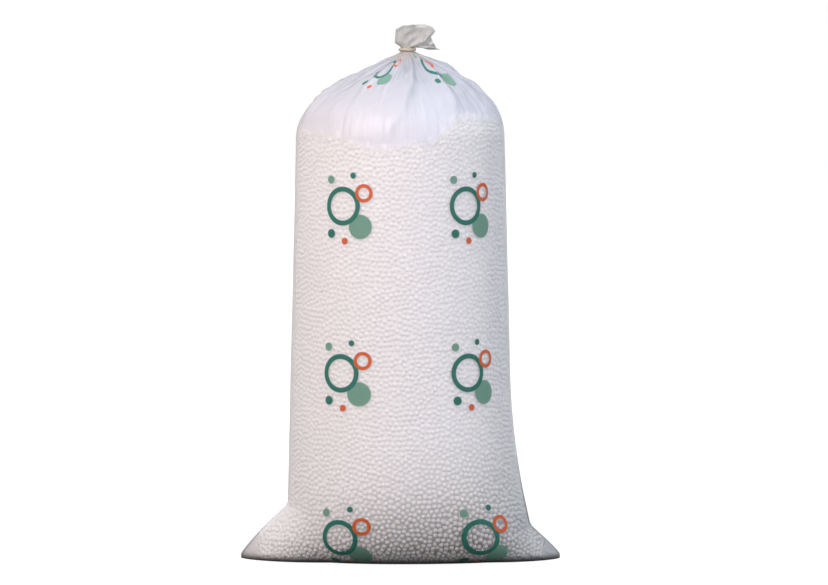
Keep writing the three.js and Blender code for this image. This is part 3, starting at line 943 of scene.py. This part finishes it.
def film_opacity(sheet, settings, spot, shaded, marks_and_shade, printed):
    """Opacity of one film surface: milky, with painted shade by the floor, dark lines, air holes, painted
    shadow and ink that hide more of what is behind
    """
    milk = sheet.blend(spot.tight, settings.loose_opacity, settings.opacity)
    low = sheet.ramp(spot.z, 0.0, FOOT_CLEAR_HEIGHT, FOOT_CLEARNESS, 1.0)
    aside = sheet.ramp(spot.x, *CLEAR_SIDES, 1.0, SIDE_CLEARNESS)
    haze = sheet.times(milk, sheet.math("MULTIPLY_ADD", spot.cloud, HAZE_SPREAD, HAZE_LEAST), low, aside)
    # The painted shade by the floor also hides more of what is behind
    haze = sheet.math("MAXIMUM", haze, sheet.math("MULTIPLY", shaded, settings.floor_shade_opacity))
    haze = sheet.blend(spot.rim, haze, RIM_OPACITY)
    haze = sheet.blend(marks_and_shade, haze, DARK_LINE_AND_SHADE_OPACITY)
    haze = sheet.blend(printed, haze, INK_OPACITY)
    to_lamp = sheet.add("ShaderNodeLightPath").outputs["Is Shadow Ray"]
    through = sheet.times(to_lamp, sheet.math("MULTIPLY_ADD", spot.even, -LIGHT_THROUGH, LIGHT_THROUGH))
    return sheet.times(haze, sheet.math("SUBTRACT", 1.0, through))


# Fine relief: crinkles (scale, detail and distortion) and dents over the beads, streaks in the loose film
# about their middle value, and the strength and depth of it all
CRINKLE_STRETCH = (1.0, 1.0, 2.5)
CRINKLE_NOISE = (70.0, 4.0, 0.6)
CRINKLE_HEIGHT = 0.10
DENT_SCALE = 128.0
DENT_HEIGHT = -0.25
STREAK_HEIGHT = 1.6
STREAK_MIDDLE = -0.85
FILM_RELIEF = (0.5, 0.003)


def film_relief(sheet, spot):
    """Fine relief of the film"""
    stretched = sheet.add("ShaderNodeMapping", {"Vector": spot.place, "Scale": CRINKLE_STRETCH}).outputs[0]
    crinkle = sheet.noise(stretched, *CRINKLE_NOISE)
    dents = sheet.math("MULTIPLY", sheet.cells(spot.place, DENT_SCALE), DENT_HEIGHT)
    resting = sheet.math("MULTIPLY_ADD", crinkle, CRINKLE_HEIGHT, dents)
    streaked = sheet.math("MULTIPLY_ADD", spot.streak, STREAK_HEIGHT, STREAK_MIDDLE)
    return sheet.bump(sheet.blend(spot.even, streaked, resting), *FILM_RELIEF)


# How patchy the painted shade by the floor is
FLOOR_SHADE_SPREAD = 0.6
FLOOR_SHADE_LEAST = 0.65
# Fine gaps in the ink: scale and detail, values at which it is thin and full, and how much thin ink covers
INK_NOISE = (900.0, 2.0)
INK_VALUES = (0.25, 0.5)
INK_THIN = 0.72
FILM_IOR = 1.5
ROUGHNESS_SPREAD = 0.2
ROUGHNESS_LOOSE = 0.27
ROUGHNESS_ON_BEADS = 0.20


def film_material(settings, runs):
    """Milky clear film with three printed inks and fine crinkles"""
    material, sheet, shader = new_material("printed_film")
    spot = FilmSpot(sheet, settings, runs)
    across, up = flat_place(sheet, settings, spot, runs)
    masks = print_masks(sheet, settings, across, up, runs.wall)
    hole_place = (settings.hole_out, runs.wall + settings.hole_rise)
    sideways = sheet.math("ABSOLUTE", across)
    hole = spot_mask(sheet, sideways, up, hole_place, settings.hole_radius, 0.0, HOLE_EDGE)
    # Dark lines and air holes, with the painted contact shadow at the floor and the painted shade on the
    # right edge
    marks_and_shade = sheet.math("MAXIMUM", edge_lines_and_shade(sheet, settings, spot), hole)
    # Painted shade by the floor, patchy with the film's cloudiness
    shaded = sheet.times(spot.low, sheet.math("MULTIPLY_ADD", spot.cloud, FLOOR_SHADE_SPREAD, FLOOR_SHADE_LEAST))
    tone = film_tone(sheet, settings, spot, shaded)
    tone = sheet.mix(marks_and_shade, tone, settings.dark_line_and_shade_tint)
    inked = 0.0
    for ink in ("pale", "dark", "warm"):
        tone = sheet.mix(masks[ink], tone, getattr(settings, "ink_" + ink))
        inked = sheet.math("MAXIMUM", inked, masks[ink])
    cover = sheet.ramp(sheet.noise(spot.place, *INK_NOISE), *INK_VALUES, INK_THIN, 1.0)
    opacity = film_opacity(sheet, settings, spot, shaded, marks_and_shade, sheet.times(inked, cover))
    on_beads = sheet.math("MULTIPLY_ADD", spot.even, ROUGHNESS_ON_BEADS, ROUGHNESS_LOOSE)
    sheet.feed(shader.inputs["Base Color"], tone)
    sheet.feed(shader.inputs["Alpha"], opacity)
    sheet.feed(shader.inputs["Roughness"], sheet.math("MULTIPLY_ADD", spot.cloud, ROUGHNESS_SPREAD, on_beads))
    sheet.feed(shader.inputs["Normal"], film_relief(sheet, spot))
    shader.inputs["IOR"].default_value = FILM_IOR
    return material


class FILLERBAG_OT_film(bpy.types.Operator):
    """Makes the film: one grid rolled into a tube, closed at the base, gathered at the neck"""

    bl_idname = "fillerbag.film"
    bl_label = "Film"

    def execute(self, context):
        settings = context.scene.fillerbag_film
        form = BagForm(context.scene.fillerbag_sizes)
        points, run, contact = film_points(form, settings)
        rows = len(run) - 1
        shape = rolled_shape(points)
        flat = shape.loops.layers.uv["film"]
        place = shape.verts.layers.int["place"]
        touch = shape.verts.layers.float.new("contact")
        for vertex in shape.verts:
            vertex[touch] = contact.flat[vertex[place]]
        for face in shape.faces:
            for corner in face.loops:
                corner[flat].uv.y = run[round(corner[flat].uv.y * rows)] / run[-1]
        wall_run = run[WALL_ROW] - form.sizes.foot_rounding
        runs = FilmRuns(wall_run, run[SHOULDER_ROW], run[NECK_ROW + NECK_ROWS], run[-1])
        piece = new_piece("film", to_mesh(shape, "film"), film_material(settings, runs), "film_bag")
        wall = piece.modifiers.new("thickness", "SOLIDIFY")
        wall.thickness = settings.thickness
        wall.offset = -1.0
        return {"FINISHED"}


def shaded_by_the_floor(sheet, place, tone, settings):
    """A bead colour with painted shade that turns it grey towards the floor, and bluer on the right"""
    low, right = near_floor(sheet, place, settings.bead_shade_height)
    return sheet.mix(low, tone, sheet.mix(right, settings.floor_shade_colour, settings.right_floor_shade_colour))


# Foam: tone of the duller beads, scale and detail of that, cells in a bead's skin with the strength and depth
# of their relief, and roughness
DULLER_BEADS = 0.94
BEAD_TONE_NOISE = (130.0, 1.0)
FOAM_CELL_SCALE = 1500.0
FOAM_CELL_RELIEF = (0.15, 0.0003)
BEAD_ROUGHNESS = 0.75
DEPTH_ROUGHNESS = 0.9


def bead_material(settings):
    """Matt foam, a little different from bead to bead, with fine cells"""
    material, sheet, shader = new_material("foam_beads")
    place = sheet.place()
    duller = [DULLER_BEADS * part for part in settings.colour]
    tone = sheet.mix(sheet.noise(place, *BEAD_TONE_NOISE), duller, settings.colour)
    relief = sheet.bump(sheet.cells(place, FOAM_CELL_SCALE), *FOAM_CELL_RELIEF)
    # Painted shade by the floor
    sheet.feed(shader.inputs["Base Color"], shaded_by_the_floor(sheet, place, tone, settings))
    sheet.feed(shader.inputs["Normal"], relief)
    shader.inputs["Roughness"].default_value = BEAD_ROUGHNESS
    return material


def core_material(settings):
    """What shows between the beads: deeper beads in their own shade"""
    material, sheet, shader = new_material("bead_depth")
    place = sheet.place()
    tone = sheet.mix(sheet.cells(place, DENT_SCALE), settings.colour, settings.shade)
    # Painted shade by the floor, as on the beads
    sheet.feed(shader.inputs["Base Color"], shaded_by_the_floor(sheet, place, tone, settings))
    shader.inputs["Roughness"].default_value = DEPTH_ROUGHNESS
    return material


def fill_surface(form, turn, along):
    """Points of the beads' surface, for along from 0 at the foot to 1 at the edge and 2 at the heap's top"""
    radius, height, run = film_outline(form)
    edge = np.interp(form.fill_edge(turn), height[BASE_ROWS:], run[BASE_ROWS:])
    at = mix(run[BASE_ROWS], edge, np.minimum(along, 1.0))
    wall = form.place(turn, np.interp(at, run, radius), np.interp(at, run, height), form.sizes.fill_in_ears)
    inwards = clamp01(along - 1.0)[..., None]
    rounded = np.concatenate([inwards, inwards, 1.0 - (1.0 - inwards) ** 2], axis=-1)
    return mix(wall, np.array([0.0, 0.0, form.sizes.heap_top]), rounded)


# Small steps over the beads' surface that show which way it faces
FACING_STEP_ALONG = 0.002
FACING_STEP_TURN = 0.004


def fill_facing(form, turn, along):
    """Points of the beads' surface and the way that it faces there"""
    here = fill_surface(form, turn, along)
    step = np.where(along < 1.0, -FACING_STEP_ALONG, FACING_STEP_ALONG)
    beyond = fill_surface(form, turn, along + step) - here
    left = fill_surface(form, turn + FACING_STEP_TURN, along)
    beside = left - fill_surface(form, turn - FACING_STEP_TURN, along)
    return here, unit(np.cross(beside, beyond * np.sign(step)[..., None]))


BEAD_SEED = 23
# Where the first rows lie on the wall and on the heap, in rows
FIRST_WALL_ROW = 0.2
FIRST_HEAP_ROW = 0.8
RING_POINTS = 1441


def bead_spots(form, settings, draw):
    """First places of the beads, in scattered rows: turn round the bag and way along the surface"""
    row_gap = settings.diameter * math.sqrt(3) / 2
    _, height, run = film_outline(form)
    edge = np.interp(form.fill_height, height[BASE_ROWS:], run[BASE_ROWS:]) - run[BASE_ROWS]
    wall_rows = int(edge / row_gap)
    heap_rows = int(form.shoulder / row_gap)
    on_wall = (np.arange(wall_rows) + FIRST_WALL_ROW) / wall_rows
    on_heap = 1.0 + (np.arange(heap_rows) + FIRST_HEAP_ROW) / heap_rows
    fine = np.linspace(0.0, 2 * math.pi, RING_POINTS)
    turns, alongs = [], []
    for along in np.concatenate([on_wall, on_heap]):
        ring = fill_surface(form, fine, np.full_like(fine, along))
        lengths = np.concatenate([[0.0], np.cumsum(np.linalg.norm(np.diff(ring, axis=0), axis=1))])
        beads = max(int(lengths[-1] / settings.diameter), 1)
        spots = (np.arange(beads) + draw.uniform() + draw.uniform(-1, 1, beads) * settings.scatter) / beads
        turns.append(np.interp((spots % 1.0) * lengths[-1], lengths, fine))
        rows_away = draw.uniform(-1, 1, beads) * settings.scatter
        alongs.append(along + rows_away / (wall_rows if along < 1.0 else heap_rows))
    return np.concatenate(turns), np.concatenate(alongs)


# Ways along the surface that beads keep to, and how far they are pushed apart in one round
ALONG_RANGE = (0.004, 1.99)
PUSH_SHARE = 0.4
PUSH_STEP = 0.001
SMALLEST_GAP = 1e-5
SMALLEST_STRETCH = 1e-4


def share_along(push, way):
    """How far each push goes along its way, in lengths of that way"""
    return (push * way).sum(axis=1) / np.maximum((way ** 2).sum(axis=1), SMALLEST_STRETCH)


def push_apart(form, turn, along, sizes, settings):
    """Moves beads that lie too close over the surface, so that they pack as poured beads do"""
    widest = sizes.max()
    for _ in range(settings.settling_rounds):
        along = np.clip(along, *ALONG_RANGE)
        here = fill_surface(form, turn, along)
        tree = kdtree.KDTree(len(here))
        for bead, spot in enumerate(here):
            tree.insert(spot, bead)
        tree.balance()
        push = np.zeros_like(here)
        for bead, spot in enumerate(here):
            for _, other, gap in tree.find_range(spot, widest):
                apart = (sizes[bead] + sizes[other]) / 2
                if other != bead and gap < apart:
                    push[bead] += (spot - here[other]) * (apart / max(gap, SMALLEST_GAP) - 1.0) * PUSH_SHARE
        across = (fill_surface(form, turn + PUSH_STEP, along) - here) / PUSH_STEP
        upwards = (fill_surface(form, turn, along + PUSH_STEP) - here) / PUSH_STEP
        turn = turn + share_along(push, across)
        along = along + share_along(push, upwards)
    return turn, np.clip(along, *ALONG_RANGE)


# Gap between a bead and the film in metres, how much deeper beads lie by chance in diameters, and a way
# along the surface just below its edge
FILM_GAP = 0.0004
DEEPER_BEADS = 0.08
BELOW_EDGE = 0.999


def bead_centres(form, settings):
    """Middles of the beads that lie against the film and on the heap, the way each one faces, and its size"""
    draw = np.random.default_rng(BEAD_SEED)
    turn, along = bead_spots(form, settings, draw)
    sizes = settings.diameter * (1.0 + settings.size_spread * draw.uniform(-1, 1, len(turn)))
    turn, along = push_apart(form, turn, along, sizes, settings)
    sits, facing = fill_facing(form, turn, along)
    _, wall_facing = fill_facing(form, turn, np.minimum(along, BELOW_EDGE))
    deep = sizes / 2 + FILM_GAP + draw.uniform(0.0, DEEPER_BEADS, len(turn)) * settings.diameter
    by_wall = deep * clamp01(1.0 - (along - 1.0) * form.shoulder / deep) * (along > 1.0)
    centres = sits - facing * deep[:, None] - wall_facing * by_wall[:, None]
    centres[:, 2] = np.maximum(centres[:, 2], sizes / 2 + FILM_GAP)
    return centres, facing, sizes


def bead_ball(settings):
    """One bead, a ball of a few dozen faces"""
    shape = bmesh.new()
    bmesh.ops.create_uvsphere(shape, u_segments=settings.around, v_segments=settings.upwards, radius=0.5)
    return bpy.data.objects.new("bead", to_mesh(shape, "bead"))


def scatter_nodes(bead):
    """Geometry nodes that set one bead on each point, turned and sized by the point's attributes"""
    tree = bpy.data.node_groups.new("set_beads", "GeometryNodeTree")
    for way in ("INPUT", "OUTPUT"):
        tree.interface.new_socket("Geometry", in_out=way, socket_type="NodeSocketGeometry")
    sheet = NodeSheet(tree)
    points = sheet.add("NodeGroupInput").outputs[0]
    facing = sheet.add("GeometryNodeInputNamedAttribute", {"Name": "facing"}, data_type="FLOAT_VECTOR")
    size = sheet.add("GeometryNodeInputNamedAttribute", {"Name": "size"}, data_type="FLOAT")
    turned = sheet.add("FunctionNodeAlignRotationToVector", {"Vector": facing.outputs[0]}, axis="Z")
    ball = sheet.add("GeometryNodeObjectInfo", {"Object": bead})
    set_on = sheet.add("GeometryNodeInstanceOnPoints", {
        "Points": points,
        "Instance": ball.outputs["Geometry"],
        "Rotation": turned.outputs[0],
        "Scale": size.outputs[0],
    })
    real = sheet.add("GeometryNodeRealizeInstances", {0: set_on.outputs[0]})
    sheet.add("NodeGroupOutput", {0: real.outputs[0]})
    return tree


def scatter(name, centres, facings, sizes, tree):
    """A mesh of beads at the given places"""
    mesh = bpy.data.meshes.new(name + "_points")
    mesh.vertices.add(len(centres))
    mesh.vertices.foreach_set("co", centres.astype(np.float32).ravel())
    facing = mesh.attributes.new("facing", "FLOAT_VECTOR", "POINT")
    facing.data.foreach_set("vector", facings.astype(np.float32).ravel())
    size = mesh.attributes.new("size", "FLOAT", "POINT")
    size.data.foreach_set("value", sizes.astype(np.float32))
    holder = bpy.data.objects.new(name + "_points", mesh)
    bpy.context.scene.collection.objects.link(holder)
    holder.modifiers.new("beads", "NODES").node_group = tree
    bpy.context.view_layer.update()
    made = bpy.data.meshes.new_from_object(holder.evaluated_get(bpy.context.evaluated_depsgraph_get()))
    made.name = name
    bpy.data.objects.remove(holder)
    return made


BEAD_BANDS = ("beads_low", "beads_middle", "beads_high", "beads_top")
CORE_COLUMNS = 120
CORE_WALL_ROWS = 60
CORE_HEAP_ROWS = 16
# Where the mass behind the beads comes nearer to the film, upwards and to the left, in metres, and the
# height of its base in diameters
CORE_HEIGHTS = (0.02, 0.20)
CORE_SIDES = (0.04, 0.16)
CORE_FLOOR = 0.5


class FILLERBAG_OT_beads(bpy.types.Operator):
    """Makes the beads that show through the film, and the mass behind them"""

    bl_idname = "fillerbag.beads"
    bl_label = "Beads"

    def execute(self, context):
        settings = context.scene.fillerbag_beads
        form = BagForm(context.scene.fillerbag_sizes)
        self.make_core(form, settings)
        centres, facings, sizes = bead_centres(form, settings)
        bead = bead_ball(settings)
        tree = scatter_nodes(bead)
        material = bead_material(settings)
        order = np.array_split(np.arange(len(centres)), len(BEAD_BANDS))
        for name, chosen in zip(BEAD_BANDS, order):
            mesh = scatter(name, centres[chosen], facings[chosen], sizes[chosen], tree)
            new_piece(name, mesh, material, "bead_fill")
        bpy.data.node_groups.remove(tree)
        bpy.data.objects.remove(bead)
        return {"FINISHED"}

    def make_core(self, form, settings):
        """The mass of beads behind the ones that show"""
        up_wall = np.linspace(0.0, 1.0, CORE_WALL_ROWS)
        over_heap = np.linspace(1.0, 2.0, CORE_HEAP_ROWS)[1:]
        turn, along = np.meshgrid(round_turn(CORE_COLUMNS), np.concatenate([up_wall, over_heap]))
        points, facing = fill_facing(form, turn, along)
        inset = mix(settings.low_inset, settings.high_inset, smooth(points[..., 2:], *CORE_HEIGHTS))
        inset = np.maximum(inset, settings.low_inset * smooth(points[..., :1], *CORE_SIDES))
        points = points - facing * settings.diameter * inset
        points[-1] = points[-1].mean(axis=0)
        points = np.concatenate([points[:1] * (0.0, 0.0, 1.0), points])
        lowest = settings.diameter * CORE_FLOOR
        points[:2, :, 2] = lowest
        points[..., 2] = np.maximum(points[..., 2], lowest)
        mesh = to_mesh(rolled_shape(points), "bead_core")
        new_piece("bead_core", mesh, core_material(settings), "bead_fill")


# Rubber: tone under the bloom, scale and detail of the bloom, roughness, and strength and depth of relief
RUBBER_DARKER = 0.8
BLOOM_NOISE = (420.0, 3.0)
BLOOM_ROUGHNESS = 0.3
RUBBER_ROUGHNESS = 0.4
RUBBER_RELIEF = (0.2, 0.0003)


def rubber_material(settings):
    """Tan rubber with a faint bloom"""
    material, sheet, shader = new_material("tan_rubber")
    bloom = sheet.noise(sheet.place(), *BLOOM_NOISE)
    tone = sheet.mix(bloom, [RUBBER_DARKER * part for part in settings.colour], settings.colour)
    sheet.feed(shader.inputs["Base Color"], tone)
    roughness = sheet.math("MULTIPLY_ADD", bloom, BLOOM_ROUGHNESS, RUBBER_ROUGHNESS)
    sheet.feed(shader.inputs["Roughness"], roughness)
    sheet.feed(shader.inputs["Normal"], sheet.bump(bloom, *RUBBER_RELIEF))
    return material


BAND_STEPS = 40
BAND_SIDES = 12
# The band's waver round the neck: height in metres, how many waves and phase
BAND_WAVER = 0.0004
BAND_WAVES = 2
BAND_PHASE = 0.5


class FILLERBAG_OT_band(bpy.types.Operator):
    """Makes the rubber band: an oval cord wound round the neck"""

    bl_idname = "fillerbag.band"
    bl_label = "Neck band"

    def execute(self, context):
        settings = context.scene.fillerbag_band
        outer = (BAND_HIGH.x - BAND_LOW.x) / 2
        rise = BAND_HIGH.z - BAND_LOW.z - settings.width
        shape = bmesh.new()
        made = bmesh.ops.create_circle(shape, cap_ends=False, segments=BAND_SIDES, radius=0.5)
        for vertex in made["verts"]:
            across, up = vertex.co.x, vertex.co.y
            vertex.co = (outer - settings.depth / 2 + across * settings.depth, 0.0, up * settings.width)
        steps = round(BAND_STEPS * settings.turns)
        bmesh.ops.spin(
            shape, geom=made["verts"] + list(shape.edges), cent=(0, 0, 0), axis=(0, 0, 1),
            dvec=(0, 0, rise / steps), angle=2 * math.pi * settings.turns, steps=steps,
        )
        bmesh.ops.holes_fill(shape, edges=shape.edges)
        for vertex in shape.verts:
            turn = math.atan2(vertex.co.y, vertex.co.x)
            waver = BAND_WAVER * math.sin(BAND_WAVES * turn + BAND_PHASE)
            vertex.co.z += BAND_LOW.z + settings.width / 2 + waver
            vertex.co.x += NECK_MIDDLE.x
            vertex.co.y += NECK_MIDDLE.y
        bmesh.ops.recalc_face_normals(shape, faces=shape.faces)
        mesh = to_mesh(shape, "neck_band_wound")
        new_piece("rubber_band", mesh, rubber_material(settings), "neck_band")
        return {"FINISHED"}


FLOOR_SIZE = 14.0
FLOOR_COLOUR = (0.08, 0.075, 0.07, 1.0)
FLOOR_ROUGHNESS = 0.9
# Distances from the bag between which the floor turns fully white, in metres
FLOOR_WHITENS = (0.3, 1.0)


def seen_directly(sheet):
    """1 for what the camera sees directly or through the film, 0 for light and reflections"""
    rays = sheet.add("ShaderNodeLightPath")
    return sheet.math("MAXIMUM", rays.outputs["Is Camera Ray"], rays.outputs["Is Transmission Ray"])


def floor_material(settings):
    """White floor that stays white beside the bag's shadow"""
    material, sheet, shader = new_material("white_floor")
    shader.inputs["Base Color"].default_value = FLOOR_COLOUR
    shader.inputs["Roughness"].default_value = FLOOR_ROUGHNESS
    seen = seen_directly(sheet)
    away = sheet.add("ShaderNodeVectorMath", {0: sheet.place()}, operation="LENGTH").outputs["Value"]
    white = sheet.ramp(away, *FLOOR_WHITENS, at_low=settings.floor_glow)
    glow = sheet.add("ShaderNodeEmission", {"Strength": sheet.times(seen, white)})
    both = sheet.add("ShaderNodeAddShader", {0: shader.outputs[0], 1: glow.outputs[0]})
    sheet.feed(material.node_tree.nodes["Material Output"].inputs[0], both.outputs[0])
    return material


# The room's light: share at the horizon of that from above, and its tint
HORIZON_SHARE = 0.83
ROOM_TINT = (0.945, 0.97, 1.0)
WHITE = (1.0, 1.0, 1.0)


def white_world(level):
    """White behind the bag, and a softer even light on it"""
    world = bpy.data.worlds.new("white_room")
    world.use_nodes = True
    sheet = NodeSheet(world.node_tree)
    back = world.node_tree.nodes["Background"]
    seen = seen_directly(sheet)
    upwards = sheet.parts(sheet.add("ShaderNodeTexCoord").outputs["Generated"])[2]
    light = sheet.ramp(upwards, 0.0, 1.0, HORIZON_SHARE * level, level)
    sheet.feed(back.inputs["Color"], sheet.mix(seen, ROOM_TINT, WHITE))
    sheet.feed(back.inputs["Strength"], sheet.blend(seen, light, 1.0))
    return world


# Lamps: name, size in metres, tint and place. The settings hold their power.
LAMPS = (
    ("key", 1.8, (1.0, 0.85, 0.795), (-1.4, -2.0, 1.9)),
    ("fill", 1.6, (0.92, 0.95, 0.98), (1.9, -1.7, 1.4)),
    ("top", 1.4, (0.96, 0.97, 1.0), (0.3, 0.9, 2.2)),
)
LAMP_AIM = Vector((0.0, 0.0, 0.36))
# Clear surfaces that the camera sees through, one behind the other
CLEAR_SURFACES = 24
PICTURE_WIDTH = 828
SENSOR_WIDTH = 36.0
VIEW_END = 100.0


class FILLERBAG_OT_stage(bpy.types.Operator):
    """Makes the floor, the lamps, the white room and the camera"""

    bl_idname = "fillerbag.stage"
    bl_label = "Stage"

    def execute(self, context):
        settings = context.scene.fillerbag_stage
        shape = bmesh.new()
        bmesh.ops.create_grid(shape, x_segments=2, y_segments=2, size=FLOOR_SIZE)
        mesh = to_mesh(shape, "floor", rounded=False)
        mesh.materials.append(floor_material(settings))
        floor = bpy.data.objects.new("floor", mesh)
        context.scene.collection.objects.link(floor)
        context.scene.world = white_world(settings.world_level)
        for name, size, tint, place in LAMPS:
            self.add_lamp(context.scene, name, size, getattr(settings, name + "_power"), tint, place)
        self.add_camera(context.scene, settings)
        context.scene.view_settings.view_transform = "Standard"
        context.scene.cycles.transparent_max_bounces = CLEAR_SURFACES
        return {"FINISHED"}

    def add_lamp(self, scene, name, size, watts, tint, place):
        """A soft square lamp"""
        data = bpy.data.lights.new(name, "AREA")
        data.size = size
        data.energy = watts
        data.color = tint
        lamp = bpy.data.objects.new(name, data)
        scene.collection.objects.link(lamp)
        lamp.location = place
        lamp.rotation_euler = (LAMP_AIM - Vector(place)).to_track_quat("-Z", "Y").to_euler()

    def add_camera(self, scene, settings):
        """A camera whose picture has the stated scale at the bag"""
        data = bpy.data.cameras.new("camera")
        data.sensor_width = SENSOR_WIDTH
        width_at_bag = settings.millimetres_per_pixel / 1000.0 * PICTURE_WIDTH
        data.lens = SENSOR_WIDTH * settings.camera_distance / width_at_bag
        data.clip_end = VIEW_END
        camera = bpy.data.objects.new("camera", data)
        scene.collection.objects.link(camera)
        elevation = settings.camera_elevation
        back = Vector((0.0, -math.cos(elevation), math.sin(elevation)))
        aim = Vector((settings.aim_right, 0.0, settings.aim_height))
        camera.location = aim + back * settings.camera_distance
        camera.rotation_euler = Euler((math.pi / 2 - elevation, 0.0, 0.0))
        scene.camera = camera


OPERATORS = (FILLERBAG_OT_film, FILLERBAG_OT_beads, FILLERBAG_OT_band, FILLERBAG_OT_stage)
SETTINGS = {
    "fillerbag_sizes": BagSizes,
    "fillerbag_film": FilmSettings,
    "fillerbag_beads": BeadSettings,
    "fillerbag_band": BandSettings,
    "fillerbag_stage": StageSettings,
}


class FILLERBAG_PT_panel(bpy.types.Panel):
    """Lists the bag's pieces and their settings"""

    bl_idname = "FILLERBAG_PT_panel"
    bl_label = "Filler bag"
    bl_space_type = "VIEW_3D"
    bl_region_type = "UI"
    bl_category = "Filler Bag"

    def draw(self, context):
        for operator in OPERATORS:
            self.layout.operator(operator.bl_idname)
        for name, group in SETTINGS.items():
            box = self.layout.box()
            box.label(text=group.__doc__)
            for key in group.__annotations__:
                label = key.replace("_", " ").capitalize()
                box.prop(getattr(context.scene, name), key, text=label)


def register():
    for group in SETTINGS.values():
        bpy.utils.register_class(group)
    for operator in (*OPERATORS, FILLERBAG_PT_panel):
        bpy.utils.register_class(operator)
    for name, group in SETTINGS.items():
        setattr(bpy.types.Scene, name, PointerProperty(type=group))


def unregister():
    for name in SETTINGS:
        delattr(bpy.types.Scene, name)
    for operator in reversed((*OPERATORS, FILLERBAG_PT_panel)):
        bpy.utils.unregister_class(operator)
    for group in reversed(list(SETTINGS.values())):
        bpy.utils.unregister_class(group)


def main():
    """Makes every piece in order"""
    register()
    bpy.ops.fillerbag.stage()
    bpy.ops.fillerbag.film()
    bpy.ops.fillerbag.beads()
    bpy.ops.fillerbag.band()


if __name__ == "__main__":
    main()
